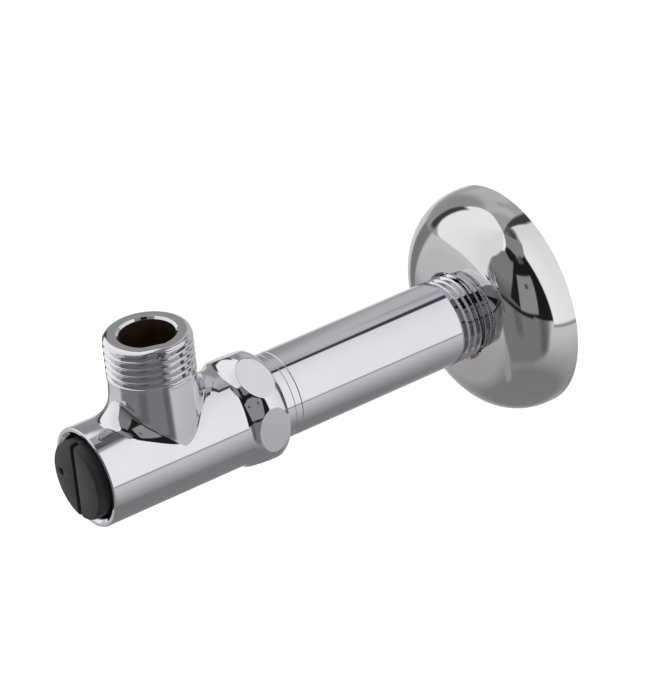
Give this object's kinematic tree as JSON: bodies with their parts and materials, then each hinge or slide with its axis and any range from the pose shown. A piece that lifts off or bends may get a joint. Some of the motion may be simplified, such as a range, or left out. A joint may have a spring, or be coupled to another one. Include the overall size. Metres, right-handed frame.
{
  "type": "shut-off valve",
  "caption": "Chrome shut-off valve with threaded branch outlet, hexagon collar, long inlet tube, sliding wall flange and a slotted black disc that turns the ceramic valve a quarter turn.",
  "frame": {"origin": "point where the valve axis meets the wall plane, in the middle of the inlet thread", "axes": "+Y along the valve axis into the wall, +Z along the outlet branch, -Y towards the slotted disc"},
  "size_m": [0.056, 0.1338, 0.0583],
  "materials": {
    "chrome": "polished plating",
    "black_plastic": "matt moulded",
    "brass": "turned",
    "seal_rubber": "smooth",
    "steel": "stamped",
    "white_plastic": "moulded",
    "ceramic": "lapped"
  },
  "bodies": {
    "valve": {"valve_body": "chrome", "inlet_tube": "chrome", "tube_seal_ring": "seal_rubber", "headwork_housing": "brass", "housing_seal_ring": "seal_rubber", "fixed_ceramic_disc": "ceramic", "seat_gasket": "seal_rubber"},
    "spindle_group": {"spindle": "brass", "slotted_disc": "black_plastic", "spindle_clip": "steel", "thrust_washer": "white_plastic", "front_spindle_seal_ring": "seal_rubber", "rear_spindle_seal_ring": "seal_rubber", "moving_ceramic_disc": "ceramic"},
    "flange": {"wall_flange": "chrome"}
  },
  "joints": [
    {"name": "spindle_turn", "type": "hinge", "parent": "valve", "child": "spindle_group", "pos_m": [0, -0.101, 0], "axis": [0, 1, 0], "range_deg": [0, 90]},
    {"name": "flange_slide", "type": "slide", "parent": "valve", "child": "flange", "axis": [0, -1, 0], "range_m": [0, 0.057]}
  ]
}
